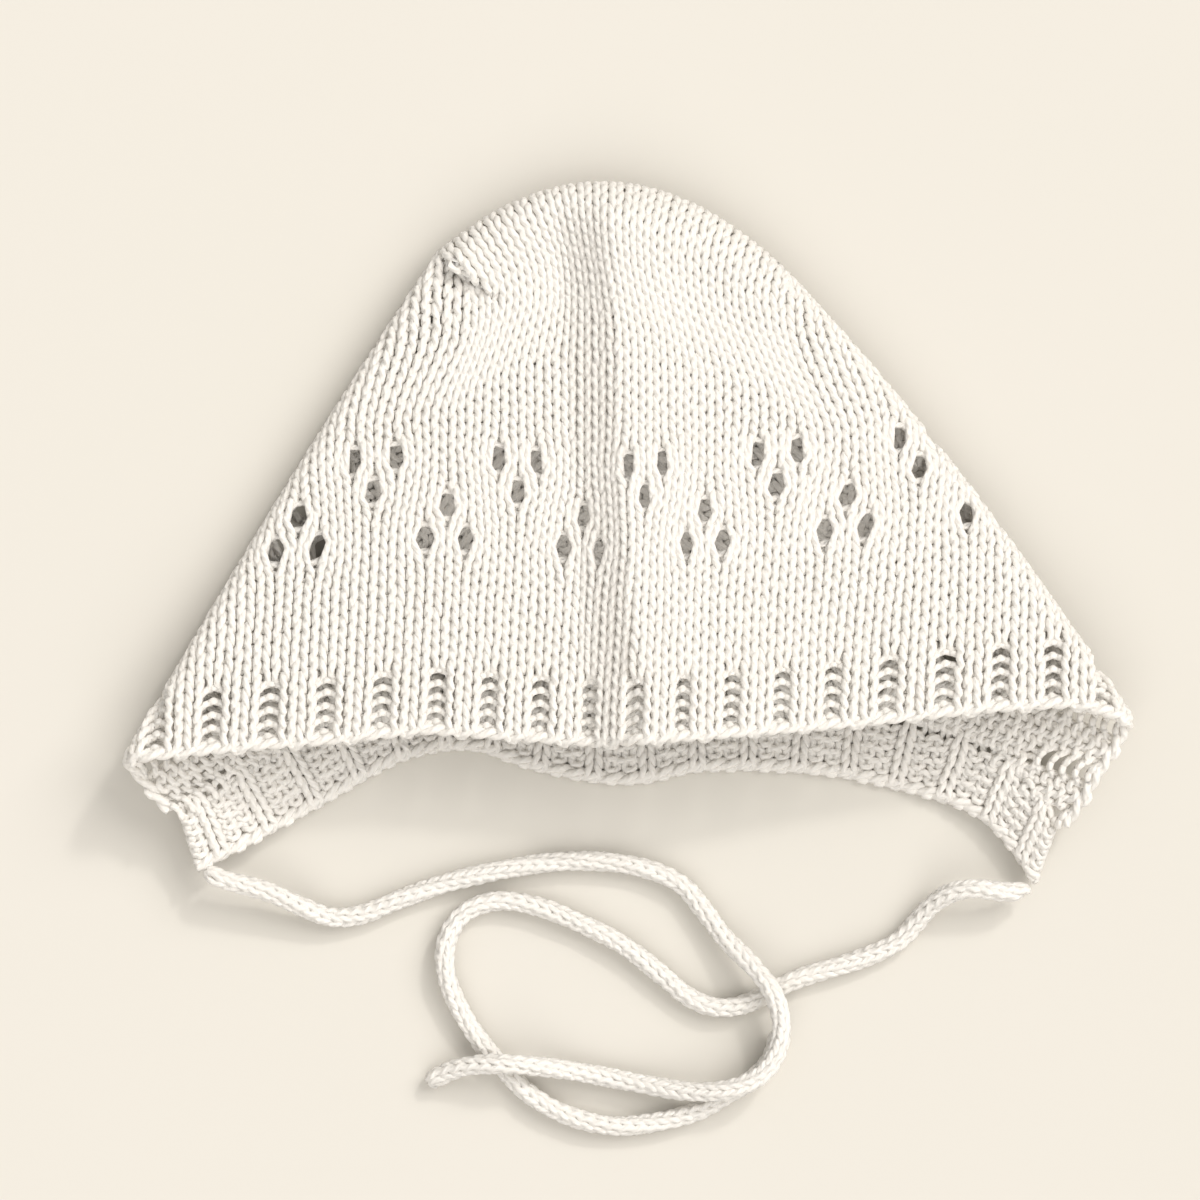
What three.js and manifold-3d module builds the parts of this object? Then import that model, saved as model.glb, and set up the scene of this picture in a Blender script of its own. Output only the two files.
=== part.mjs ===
// A baby bonnet, hand knitted in cotton, lying on its back panel with the face opening towards -Y.
// Millimetres, +Z up, origin on the surface it lies on, at the middle of the bonnet without its ties.
//
// The bonnet is a knitted bag, flattened by its own weight: an upper layer and a lower layer that turn
// into each other along a left fold, a right fold and the crown. A rib band edges the face opening and
// another edges the neck, and a knitted cord hangs from each ear corner.

import * as THREE from "three";
import { mergeVertices } from "three/addons/utils/BufferGeometryUtils.js";
import Module from "manifold-3d";

// ---------- driving dimensions ----------

const WALL = 2.6; // thickness of the knitted wall
const GAP = 0.4; // between a band and the cap that it is knitted on to
const BAND_DEPTH = 14; // hem to the end of the ribs

// Corners of the flattened outline, in plan.
const LEFT_TIP = new THREE.Vector2(-115.8, -52.9);
const RIGHT_TIP = new THREE.Vector2(113.4, -43.4);
const CROWN_LEFT = new THREE.Vector2(-44.7, 63.0);
const CROWN_RIGHT = new THREE.Vector2(36.0, 57.7);

// The crown edge is a parabola between its two corners.
const CROWN_TOP_X = -7.2;
const CROWN_TOP_Y = 79.2;
const CROWN_CURVE = 0.0115; // drop in mm per mm squared from the top

// Each side fold bows outwards a little between its ends.
const LEFT_BOW = 1.5;
const RIGHT_BOW = 3.2;
const BOW_REACH = 50; // how far inwards the bow is felt

const FOLD_RADIUS = 4.5; // of the wall's middle surface, where the layers turn into each other

// The face hem of the upper layer.
const FACE_HEM = [
  { x: -115.8, y: -52.9 },
  { x: -94.0, y: -50.9 },
  { x: -71.0, y: -48.9 },
  { x: -48.0, y: -46.3 },
  { x: -8.0, y: -49.3 },
  { x: 39.0, y: -45.7 },
  { x: 80.0, y: -42.0 },
  { x: 100.0, y: -40.8 },
  { x: 113.4, y: -43.4 },
];

// The neck band on the lower layer: its hem, and where its ribs end on the cap.
const NECK_BAND = [
  { hemX: -101.4, hemY: -78.3, topX: -105.6, topY: -65.4 },
  { hemX: -88.5, hemY: -71.6, topX: -94.6, topY: -58.9 },
  { hemX: -72.4, hemY: -62.7, topX: -78.8, topY: -50.2 },
  { hemX: -54.0, hemY: -52.6, topX: -58.9, topY: -39.3 },
  { hemX: -38.0, hemY: -50.2, topX: -37.0, topY: -36.3 },
  { hemX: -22.0, hemY: -55.0, topX: -20.0, topY: -41.2 },
  { hemX: -2.0, hemY: -58.2, topX: -2.0, topY: -44.2 },
  { hemX: 18.0, hemY: -54.9, topX: 18.0, topY: -40.9 },
  { hemX: 44.0, hemY: -55.9, topX: 45.5, topY: -42.0 },
  { hemX: 62.0, hemY: -59.4, topX: 65.2, topY: -45.8 },
  { hemX: 77.5, hemY: -64.2, topX: 82.0, topY: -51.0 },
  { hemX: 86.5, hemY: -71.0, topX: 91.6, topY: -59.6 },
  { hemX: 94.0, hemY: -81.8, topX: 98.2, topY: -69.2 },
];
const NECK_LEFT_CORNER = 1; // row of NECK_BAND where the front band's end stands, on the left
const NECK_RIGHT_CORNER = NECK_BAND.length - 2;

// Heights of the wall's middle surface, by distance towards the crown.
const HEIGHTS = [
  { y: -82, fold: 21.0, upper: 23.0 },
  { y: -52, fold: 18.5, upper: 22.5 },
  { y: -36, fold: 14.5, upper: 21.5 },
  { y: -10, fold: 9.5, upper: 19.0 },
  { y: 20, fold: 8.2, upper: 15.5 },
  { y: 48, fold: 8.0, upper: 12.2 },
  { y: 62, fold: 8.0, upper: 11.6 },
  { y: 80, fold: 8.0, upper: 12.6 },
];
const FLOOR_HEIGHT = WALL / 2; // of the middle surface where the lower layer lies flat
const UPPER_RISE_WIDTH = 34; // how far inwards the upper layer takes to reach its height
const LOWER_FALL_WIDTH = 52; // how far inwards the lower layer takes to reach the floor

// A standing crease runs from the crown to the face hem: a soft slope to its right, a steep one to its left.
const CREASE = { topX: -6, hemX: 2, height: 8, leftWidth: 12, leftPower: 1.25, rightWidth: 42, crownFade: 0.35 };
const MIDDLE_OF_HEM = 4; // row of FACE_HEM where the crease meets it

// A short tuck at the left crown corner, where the sides are joined to the back: a lip over a dent.
const TUCK = { length: 16, dirX: 0.80, dirY: -0.60, lip: 2.2, dent: 3.4, width: 5, endsAt: 1.2 };

// Shallow hollows just inside the crown edge.
const HOLLOWS = [
  { x: -15, y: 60, sizeX: 9, sizeY: 12, depth: 1.6 },
  { x: 17, y: 56, sizeX: 13, sizeY: 11, depth: 1.5 },
];

// Lace eyelets: a trefoil of three holes, one trefoil every eight stitches, in two offset lines.
const EYELET = { width: 2.7, length: 4.4, sides: 8 };
const UPPER_TREFOIL = [
  { dx: -4.0, dy: 3.0 },
  { dx: 4.0, dy: 3.0 },
  { dx: 0.0, dy: -3.0 },
];
const LOWER_TREFOIL = [
  { dx: 0.0, dy: 4.0 },
  { dx: -3.8, dy: -3.4 },
  { dx: 3.8, dy: -3.4 },
];
const TREFOILS = [
  { x: -60.6, y: 11.0, holes: UPPER_TREFOIL },
  { x: -27.0, y: 11.6, holes: UPPER_TREFOIL },
  { x: 1.9, y: 15.6, holes: UPPER_TREFOIL },
  { x: 31.6, y: 12.9, holes: UPPER_TREFOIL },
  { x: 62.4, y: 14.0, holes: UPPER_TREFOIL },
  { x: -75.6, y: -2.6, holes: LOWER_TREFOIL },
  { x: -42.2, y: -2.4, holes: LOWER_TREFOIL },
  { x: -10.9, y: 0.8, holes: LOWER_TREFOIL },
  { x: 16.4, y: 0.8, holes: LOWER_TREFOIL },
  { x: 48.3, y: 1.0, holes: LOWER_TREFOIL },
  { x: 79.0, y: -2.8, holes: LOWER_TREFOIL },
];

// The ties: knitted cords, each a smooth curve through points chosen where it lies.
const TIE_DIAMETER = 5.1;
const TIE_SIDES = 10;
const TIE_STEP = 9; // length of one straight piece of the tube
const LIES = 2.7; // height of a tie's centre where it lies on the surface
const OVER = 8.3; // height of its centre where it passes over the other tie

const TIE_LEFT_ROUTE = [
  [-99.4, -80.0, 8.6],
  [-94.2, -81.9, 8.4],
  [-85.0, -84.4, 7.4],
  [-77.4, -87.8, 5.6],
  [-70.4, -90.6, 3.4],
  [-63.0, -89.9, LIES],
  [-54.1, -86.3, LIES],
  [-40.1, -81.7, LIES],
  [-23.9, -78.4, LIES],
  [-10.0, -77.5, LIES],
  [1.6, -78.9, LIES],
  [10.9, -82.8, LIES],
  [16.6, -89.1, 3.0],
  [21.6, -95.6, 4.2],
  [27.6, -101.6, 6.6],
  [32.3, -107.6, OVER],
  [34.4, -114.3, OVER],
  [33.6, -121.0, OVER],
  [29.5, -127.0, OVER],
  [22.5, -130.3, OVER],
  [13.2, -131.0, 6.2],
  [1.6, -129.2, 3.6],
  [-10.0, -127.1, 3.4],
  [-21.0, -125.2, 6.2],
  [-29.5, -124.4, OVER],
  [-38.0, -125.0, 6.0],
  [-44.0, -127.0, 3.6],
  [-47.6, -129.2, LIES],
];

const TIE_RIGHT_ROUTE = [
  [91.8, -84.4, 5.0],
  [86.2, -84.5, 7.6],
  [79.6, -83.6, 8.8],
  [73.9, -84.6, 7.8],
  [69.6, -87.6, 5.4],
  [65.7, -92.0, 3.4],
  [61.6, -96.2, LIES],
  [55.4, -99.4, LIES],
  [48.0, -102.0, LIES],
  [38.7, -104.8, LIES],
  [31.8, -108.0, LIES],
  [25.6, -111.0, LIES],
  [19.0, -111.6, LIES],
  [12.8, -109.0, LIES],
  [6.3, -103.7, LIES],
  [-3.0, -96.7, LIES],
  [-14.6, -90.9, LIES],
  [-23.9, -87.7, LIES],
  [-32.2, -86.9, LIES],
  [-39.4, -89.6, 3.4],
  [-43.4, -96.0, 4.4],
  [-43.4, -103.9, 4.2],
  [-40.4, -111.9, 3.2],
  [-35.6, -119.5, LIES],
  [-29.8, -126.2, LIES],
  [-23.4, -132.4, LIES],
  [-14.6, -137.0, LIES],
  [-4.2, -139.2, LIES],
  [6.3, -138.2, LIES],
  [15.5, -135.5, LIES],
  [22.6, -131.4, LIES],
  [28.4, -127.9, LIES],
  [32.4, -123.0, LIES],
  [34.0, -117.4, LIES],
];

// ---------- the flattened outline ----------

const crownY = (x) => CROWN_TOP_Y - CROWN_CURVE * (x - CROWN_TOP_X) ** 2;
const crownSlope = (x) => -2 * CROWN_CURVE * (x - CROWN_TOP_X);

// Everything is laid out on a pattern whose side folds are straight. A side fold is the line from its tip
// to its crown corner, with the direction that points inwards, and the bow that it takes afterwards.
function sideFold(tip, corner, bow, inwardSign) {
  const along = corner.clone().sub(tip);
  const length = along.length();
  along.normalize();
  const inward = new THREE.Vector2(along.y * inwardSign, -along.x * inwardSign);
  const pointAt = (t) => tip.clone().addScaledVector(along, t);
  const distance = (x, y) => new THREE.Vector2(x, y).sub(tip).dot(inward);
  const bowAt = (x, y) => {
    const share = THREE.MathUtils.clamp(new THREE.Vector2(x, y).sub(tip).dot(along) / length, 0, 1);
    const fade = 1 - THREE.MathUtils.smoothstep(distance(x, y), 0, BOW_REACH);
    return inward.clone().multiplyScalar(-4 * bow * share * (1 - share) * fade);
  };
  return { along, inward, pointAt, distance, bowAt };
}

const leftFold = sideFold(LEFT_TIP, CROWN_LEFT, LEFT_BOW, 1);
const rightFold = sideFold(RIGHT_TIP, CROWN_RIGHT, RIGHT_BOW, -1);

// Distance inwards from the crown edge, which only spans its two corners.
function crownDistance(x, y) {
  if (x < CROWN_LEFT.x || x > CROWN_RIGHT.x) return Infinity;
  return (crownY(x) - y) / Math.hypot(1, crownSlope(x));
}

// ---------- heights of the two layers ----------

// A value from a table, by straight lines between its rows.
function lookUp(table, key, value, at) {
  let row = 1;
  while (row < table.length - 1 && table[row][key] < at) row += 1;
  const before = table[row - 1];
  const after = table[row];
  const share = THREE.MathUtils.clamp((at - before[key]) / (after[key] - before[key]), 0, 1);
  return THREE.MathUtils.lerp(before[value], after[value], share);
}

const ease = (share) => THREE.MathUtils.smoothstep(share, 0, 1);
const bell = (share) => Math.exp(-share * share);

// How far round the fold a point is: 0 on the outermost line, 1 where the layer leaves the fold.
function foldRound(edge) {
  const inset = THREE.MathUtils.clamp(1 - edge / FOLD_RADIUS, 0, 1);
  return Math.sqrt(1 - inset * inset);
}

function edgeDistance(x, y) {
  return Math.max(0, Math.min(leftFold.distance(x, y), rightFold.distance(x, y), crownDistance(x, y)));
}

function creaseHeight(x, y) {
  const hemY = FACE_HEM[MIDDLE_OF_HEM].y;
  const share = THREE.MathUtils.clamp((y - hemY) / (CROWN_TOP_Y - hemY), 0, 1);
  const from = x - THREE.MathUtils.lerp(CREASE.hemX, CREASE.topX, share);
  const leftFlank = Math.max(0, 1 + from / CREASE.leftWidth) ** CREASE.leftPower;
  const slope = from < 0 ? leftFlank : bell(from / CREASE.rightWidth);
  return CREASE.height * slope * (1 - CREASE.crownFade * share);
}

function tuckHeight(x, y) {
  const fromX = x - CROWN_LEFT.x;
  const fromY = y - CROWN_LEFT.y;
  const along = fromX * TUCK.dirX + fromY * TUCK.dirY;
  const above = -fromX * TUCK.dirY + fromY * TUCK.dirX;
  const fade = ease(TUCK.endsAt - along / TUCK.length) * ease(1 + along / TUCK.width);
  const height = above > 0 ? TUCK.lip : -TUCK.dent;
  return height * fade * bell(above / TUCK.width);
}

function hollowHeight(x, y) {
  let depth = 0;
  for (const dent of HOLLOWS) {
    depth += dent.depth * bell(Math.hypot((x - dent.x) / dent.sizeX, (y - dent.y) / dent.sizeY));
  }
  return -depth;
}

function upperHeight(x, y) {
  const edge = edgeDistance(x, y);
  const fold = lookUp(HEIGHTS, "y", "fold", y);
  const inner = ease(edge / UPPER_RISE_WIDTH);
  const relief = creaseHeight(x, y) + hollowHeight(x, y);
  const plain = fold + FOLD_RADIUS * foldRound(edge);
  const rise = lookUp(HEIGHTS, "y", "upper", y) - fold - FOLD_RADIUS;
  const body = plain + rise * inner + relief * ease(edge / (2 * FOLD_RADIUS));
  return body + tuckHeight(x, y) * ease(edge / FOLD_RADIUS);
}

function lowerHeight(x, y) {
  const edge = edgeDistance(x, y);
  const fold = lookUp(HEIGHTS, "y", "fold", y);
  const fall = fold - FOLD_RADIUS - FLOOR_HEIGHT;
  return fold - FOLD_RADIUS * foldRound(edge) - fall * ease(edge / LOWER_FALL_WIDTH);
}

// A point of the pattern, at a height, with the bow of the side folds.
function bowed({ x, y }, z) {
  const moved = new THREE.Vector2(x, y).add(leftFold.bowAt(x, y)).add(rightFold.bowAt(x, y));
  return new THREE.Vector3(moved.x, moved.y, z);
}

const upperPoint = (plan) => bowed(plan, upperHeight(plan.x, plan.y));
const lowerPoint = (plan) => bowed(plan, lowerHeight(plan.x, plan.y));

// ---------- borders in plan ----------

const neckHem = new THREE.SplineCurve(NECK_BAND.map((row) => new THREE.Vector2(row.hemX, row.hemY)));
const neckTop = new THREE.SplineCurve(NECK_BAND.map((row) => new THREE.Vector2(row.topX, row.topY)));

// Shares of a length: a few close together at each end, where a layer turns over its fold, then even ones.
const FOLD_WIDTH = 1.15 * FOLD_RADIUS; // taken by a side fold along a line that crosses it slantwise
const FOLD_INSETS = [0, 0.13, 0.5, 1]; // shares of that width

function sharesWithInsets(length, count) {
  const insets = FOLD_INSETS.map((inset) => (inset * FOLD_WIDTH) / length);
  const first = insets[insets.length - 1];
  const inner = count - 2 * (insets.length - 1);
  const shares = [...insets];
  for (let step = 1; step < inner; step += 1) {
    shares.push(THREE.MathUtils.lerp(first, 1 - first, step / inner));
  }
  return [...shares, ...insets.reverse().map((inset) => 1 - inset)];
}

// A line on the upper layer, "rise" above the face hem; share runs from the left fold to the right one.
function faceBorder(share, rise) {
  const left = leftFold.pointAt(rise / leftFold.along.y);
  const right = rightFold.pointAt(rise / rightFold.along.y);
  if (share === 0) return left;
  if (share === 1) return right;
  const x = THREE.MathUtils.lerp(left.x, right.x, share);
  const hemX = THREE.MathUtils.lerp(LEFT_TIP.x, RIGHT_TIP.x, share);
  return new THREE.Vector2(x, lookUp(FACE_HEM, "x", "y", hemX) + rise);
}

// ---------- from a sheet to a wall ----------

// A sheet is a list of points and a list of triangles. Each side of the wall is the sheet moved along its
// own normals, and each open edge of the sheet becomes a strip that closes the wall.
function thicken({ points, triangles }) {
  const normals = points.map(() => new THREE.Vector3());
  const edges = new Map();
  for (const [a, b, c] of triangles) {
    const ab = points[b].clone().sub(points[a]);
    const ac = points[c].clone().sub(points[a]);
    const face = ab.cross(ac);
    for (const corner of [a, b, c]) normals[corner].add(face);
    for (const [from, to] of [[a, b], [b, c], [c, a]]) edges.set(`${from},${to}`, [from, to]);
  }
  const count = points.length;
  const positions = [];
  for (const side of [1, -1]) {
    points.forEach((point, index) => {
      const moved = point.clone().addScaledVector(normals[index].clone().normalize(), (side * WALL) / 2);
      positions.push(moved.x, moved.y, moved.z);
    });
  }
  const faces = [];
  for (const [a, b, c] of triangles) {
    faces.push(a, b, c, count + c, count + b, count + a);
  }
  for (const [from, to] of edges.values()) {
    if (edges.has(`${to},${from}`)) continue;
    faces.push(to, from, count + from, to, count + from, count + to);
  }
  const geometry = new THREE.BufferGeometry();
  geometry.setAttribute("position", new THREE.Float32BufferAttribute(positions, 3));
  geometry.setIndex(faces);
  return geometry;
}

// Two triangles for each square of a grid of point numbers, rows[j][i], facing the side that makes
// i turn towards j anticlockwise.
function gridTriangles(rows) {
  const triangles = [];
  for (let j = 0; j + 1 < rows.length; j += 1) {
    for (let i = 0; i + 1 < rows[j].length; i += 1) {
      const [a, b, c, d] = [rows[j][i], rows[j][i + 1], rows[j + 1][i + 1], rows[j + 1][i]];
      triangles.push([a, b, c], [a, c, d]);
    }
  }
  return triangles;
}

// ---------- the cap ----------

const ACROSS = 34; // squares from fold to fold
const UP = 17; // squares from band to crown

function capSheet() {
  const width = RIGHT_TIP.x - LEFT_TIP.x;
  const crownWidth = CROWN_RIGHT.x - CROWN_LEFT.x;
  const faceShares = sharesWithInsets(width, ACROSS);
  const crownShares = sharesWithInsets(crownWidth, ACROSS);
  const upperBorder = faceShares.map((share) => faceBorder(share, BAND_DEPTH + GAP));
  const crown = crownShares.map((share) => {
    const x = THREE.MathUtils.lerp(CROWN_LEFT.x, CROWN_RIGHT.x, share);
    return new THREE.Vector2(x, crownY(x));
  });
  const lowerBorder = capLowerBorder(upperBorder[0], upperBorder[ACROSS]);
  const length = CROWN_TOP_Y - FACE_HEM[MIDDLE_OF_HEM].y;
  const rises = sharesWithInsets(length, 2 * UP).slice(UP).map((share) => 2 * share - 1);
  const points = [];
  const grid = (border, place, shared) => rises.map((rise, j) => border.map((start, i) => {
    const onFold = i === 0 || i === ACROSS || j === UP;
    if (shared && onFold) return shared[j][i];
    points.push(place(start.clone().lerp(crown[i], rise)));
    return points.length - 1;
  }));
  const upper = grid(upperBorder, upperPoint, null);
  const lower = grid(lowerBorder, lowerPoint, upper);
  const below = gridTriangles(lower).map(([a, b, c]) => [a, c, b]);
  return { points, triangles: [...gridTriangles(upper), ...below] };
}

// Where the cap starts on the lower layer: along the turned-under end of the front band, along the top of
// the neck band, and along the other end of the front band.
const CAP_END = [0, 0.03, 0.1, 0.22, 0.6]; // shares of the turned-under end, finer towards the fold
const LEFT_CORNER_GAP = new THREE.Vector2(GAP, 1.5 * GAP); // from both bands, where they meet
const RIGHT_CORNER_GAP = new THREE.Vector2(-0.3 * GAP, 1.5 * GAP);

function capLowerBorder(left, right) {
  const last = NECK_BAND.length - 1;
  const leftCorner = neckTop.getPoint(NECK_LEFT_CORNER / last).add(LEFT_CORNER_GAP);
  const rightCorner = neckTop.getPoint(NECK_RIGHT_CORNER / last).add(RIGHT_CORNER_GAP);
  const leftEnd = CAP_END.map((share) => left.clone().lerp(leftCorner, share));
  const rightEnd = CAP_END.map((share) => right.clone().lerp(rightCorner, share)).reverse();
  const middle = [];
  const inner = ACROSS - 2 * CAP_END.length;
  for (let step = 0; step <= inner; step += 1) {
    const share = THREE.MathUtils.lerp(NECK_LEFT_CORNER / last, NECK_RIGHT_CORNER / last, step / inner);
    const plan = neckTop.getPoint(share);
    middle.push(new THREE.Vector2(plan.x, plan.y + GAP));
  }
  middle[0].copy(leftCorner);
  middle[inner].copy(rightCorner);
  return [...leftEnd, ...middle, ...rightEnd];
}

// ---------- the bands ----------

const BAND_ROWS = 3; // squares from hem to the end of the ribs
const BAND_ACROSS = 44;
const NECK_ACROSS = 30;
const BAND_END = [0, 0.4, 0.75, 0.9, 0.97]; // shares of the turned-under end, finer towards the fold

function bandSheet(stations) {
  const points = [];
  const rows = [];
  for (let j = 0; j <= BAND_ROWS; j += 1) {
    rows.push(stations.map(({ hem, top, place }) => {
      points.push(place(hem.clone().lerp(top, j / BAND_ROWS)));
      return points.length - 1;
    }));
  }
  return { points, triangles: gridTriangles(rows) };
}

function frontBandSheet() {
  const last = NECK_BAND.length - 1;
  // One turned-under end, from the ear corner to the tip; side is 0 on the left and 1 on the right.
  const end = (side, corner, hemTip) => {
    const hemEnd = neckTop.getPoint(side);
    const topEnd = neckTop.getPoint(corner / last);
    hemEnd.y += GAP;
    topEnd.y += GAP;
    const topTip = faceBorder(side, BAND_DEPTH);
    return BAND_END.map((share) => ({
      hem: hemEnd.clone().lerp(hemTip, share),
      top: topEnd.clone().lerp(topTip, share),
      place: lowerPoint,
    }));
  };
  const leftEnd = end(0, NECK_LEFT_CORNER, LEFT_TIP);
  const rightEnd = end(1, NECK_RIGHT_CORNER, RIGHT_TIP).reverse();
  const shares = sharesWithInsets(RIGHT_TIP.x - LEFT_TIP.x, BAND_ACROSS);
  const upper = shares.map((share) => ({
    hem: faceBorder(share, 0),
    top: faceBorder(share, BAND_DEPTH),
    place: upperPoint,
  }));
  return bandSheet([...leftEnd, ...upper, ...rightEnd]);
}

function neckBandSheet() {
  const stations = [];
  for (let step = 0; step <= NECK_ACROSS; step += 1) {
    const share = step / NECK_ACROSS;
    stations.push({ hem: neckHem.getPoint(share), top: neckTop.getPoint(share), place: lowerPoint });
  }
  // On the lower layer the outside faces down.
  const { points, triangles } = bandSheet(stations);
  return { points, triangles: triangles.map(([a, b, c]) => [a, c, b]) };
}

// ---------- eyelets ----------

const wasm = await Module();
wasm.setup();

function toManifold(geometry) {
  const plain = geometry.clone();
  plain.deleteAttribute("normal");
  plain.deleteAttribute("uv");
  const merged = mergeVertices(plain, 1e-4);
  return new wasm.Manifold(new wasm.Mesh({
    numProp: 3,
    vertProperties: new Float32Array(merged.attributes.position.array),
    triVerts: new Uint32Array(merged.index.array),
  }));
}

function toGeometry(solid) {
  const mesh = solid.getMesh();
  const geometry = new THREE.BufferGeometry();
  geometry.setAttribute("position", new THREE.BufferAttribute(new Float32Array(mesh.vertProperties), 3));
  geometry.setIndex(new THREE.BufferAttribute(new Uint32Array(mesh.triVerts), 1));
  return geometry;
}

// A pin through the upper wall, as wide and long as one eyelet, standing square to the wall.
const PIN_LENGTH = 2.5 * WALL;

function eyeletPin(x, y) {
  const step = 1; // for the slope
  const here = upperPoint({ x, y });
  const slopeX = (upperHeight(x + step, y) - upperHeight(x - step, y)) / (2 * step);
  const slopeY = (upperHeight(x, y + step) - upperHeight(x, y - step)) / (2 * step);
  const pin = new THREE.CylinderGeometry(0.5, 0.5, PIN_LENGTH, EYELET.sides, 1);
  pin.rotateX(Math.PI / 2);
  pin.scale(EYELET.width, EYELET.length, 1);
  const turn = new THREE.Quaternion().setFromUnitVectors(
    new THREE.Vector3(0, 0, 1),
    new THREE.Vector3(-slopeX, -slopeY, 1).normalize(),
  );
  pin.applyQuaternion(turn);
  pin.translate(here.x, here.y, here.z);
  return pin;
}

function capGeometry() {
  let wall = toManifold(thicken(capSheet()));
  for (const trefoil of TREFOILS) {
    for (const hole of trefoil.holes) {
      wall = wall.subtract(toManifold(eyeletPin(trefoil.x + hole.dx, trefoil.y + hole.dy)));
    }
  }
  return toGeometry(wall);
}

// ---------- the ties ----------

function tieGeometry(route) {
  const curve = new THREE.CatmullRomCurve3(route.map(([x, y, z]) => new THREE.Vector3(x, y, z)));
  const section = new THREE.Shape();
  for (let side = 0; side < TIE_SIDES; side += 1) {
    const angle = (2 * Math.PI * side) / TIE_SIDES;
    const x = (TIE_DIAMETER / 2) * Math.cos(angle);
    const y = (TIE_DIAMETER / 2) * Math.sin(angle);
    if (side === 0) section.moveTo(x, y);
    else section.lineTo(x, y);
  }
  section.closePath();
  const steps = Math.round(curve.getLength() / TIE_STEP);
  return new THREE.ExtrudeGeometry(section, { extrudePath: curve, steps, bevelEnabled: false });
}

// ---------- the bonnet ----------

function knit(name, geometry, colour) {
  const material = new THREE.MeshStandardMaterial({ color: colour, roughness: 0.95, metalness: 0 });
  const mesh = new THREE.Mesh(geometry, material);
  mesh.name = name;
  return mesh;
}

const CREAM_WHITE = 0xf8f4ec;
const group = new THREE.Group();
group.add(knit("cap", capGeometry(), CREAM_WHITE));
group.add(knit("front_band", thicken(frontBandSheet()), CREAM_WHITE));
group.add(knit("neck_band", thicken(neckBandSheet()), CREAM_WHITE));
group.add(knit("tie_left", tieGeometry(TIE_LEFT_ROUTE), CREAM_WHITE));
group.add(knit("tie_right", tieGeometry(TIE_RIGHT_ROUTE), CREAM_WHITE));

export default group;
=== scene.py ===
# %% [markdown]
# # A hand-knitted baby bonnet
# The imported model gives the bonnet's size and the way it lies. This script knits it: every stitch is a loop
# of real yarn laid over that shape. Lengths are millimetres until a mesh is made, which turns them to metres.

import math

import bpy
import numpy as np
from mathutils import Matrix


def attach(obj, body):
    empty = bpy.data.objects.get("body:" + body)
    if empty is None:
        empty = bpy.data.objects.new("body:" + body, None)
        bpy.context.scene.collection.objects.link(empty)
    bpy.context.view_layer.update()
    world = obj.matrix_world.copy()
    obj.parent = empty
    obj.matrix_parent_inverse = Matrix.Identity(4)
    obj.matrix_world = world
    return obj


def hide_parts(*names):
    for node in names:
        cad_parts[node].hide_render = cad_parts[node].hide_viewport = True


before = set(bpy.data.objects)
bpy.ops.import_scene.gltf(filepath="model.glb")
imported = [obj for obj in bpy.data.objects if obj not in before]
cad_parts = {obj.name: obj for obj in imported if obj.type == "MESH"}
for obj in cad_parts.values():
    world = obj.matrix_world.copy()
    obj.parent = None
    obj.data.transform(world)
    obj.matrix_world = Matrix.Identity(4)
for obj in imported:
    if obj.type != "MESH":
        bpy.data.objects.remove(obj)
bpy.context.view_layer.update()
MM = 0.001
rng = np.random.default_rng(7)

# %% [markdown]
# ## Camera
# The bonnet lies on a table and is looked at from straight above. A long lens keeps the raised parts from
# growing too much. The view is as wide as the bonnet with its loose ties and some table round it.

# %% Camera
VIEW_WIDTH = 278.4
VIEW_CENTRE = (-7.7, -16.7)
VIEW_PLANE = 9.0  # height that is drawn at exactly that width: the outline's
LENS = 200.0
SENSOR = 36.0

bpy.ops.object.select_all(action="DESELECT")
view_distance = VIEW_WIDTH * LENS / SENSOR
camera_place = (VIEW_CENTRE[0] * MM, VIEW_CENTRE[1] * MM, (VIEW_PLANE + view_distance) * MM)
bpy.ops.object.camera_add(location=camera_place, rotation=(0, 0, 0))
camera = bpy.context.object
camera.name = "camera"
camera.data.lens = LENS
camera.data.sensor_width = SENSOR
camera.data.dof.use_dof = False
camera.data.clip_start = 0.01
camera.data.clip_end = 10
bpy.context.scene.camera = camera
print("camera", round(view_distance), "mm above the bonnet")

# %% [markdown]
# ## From a line of yarn to a mesh
# A yarn could be a primitive that operators stretch and bend, or a curve with a round bevel. Neither can
# follow thousands of loops, each turned by the fabric under it, so this helper makes the mesh itself: it
# sweeps a small polygon along every line. Each ring is turned by the fabric's own outward direction, so the
# tube never twists, and both its ends are closed. Its UV map runs along the yarn (U, in millimetres) and
# round it (V, 0 to 1), which the cotton's ply twist needs.

# %% Yarn helper
YARN_SIDES = 5


def unit(vectors):
    length = np.linalg.norm(vectors, axis=-1, keepdims=True)
    return vectors / np.maximum(length, 1e-9)


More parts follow.
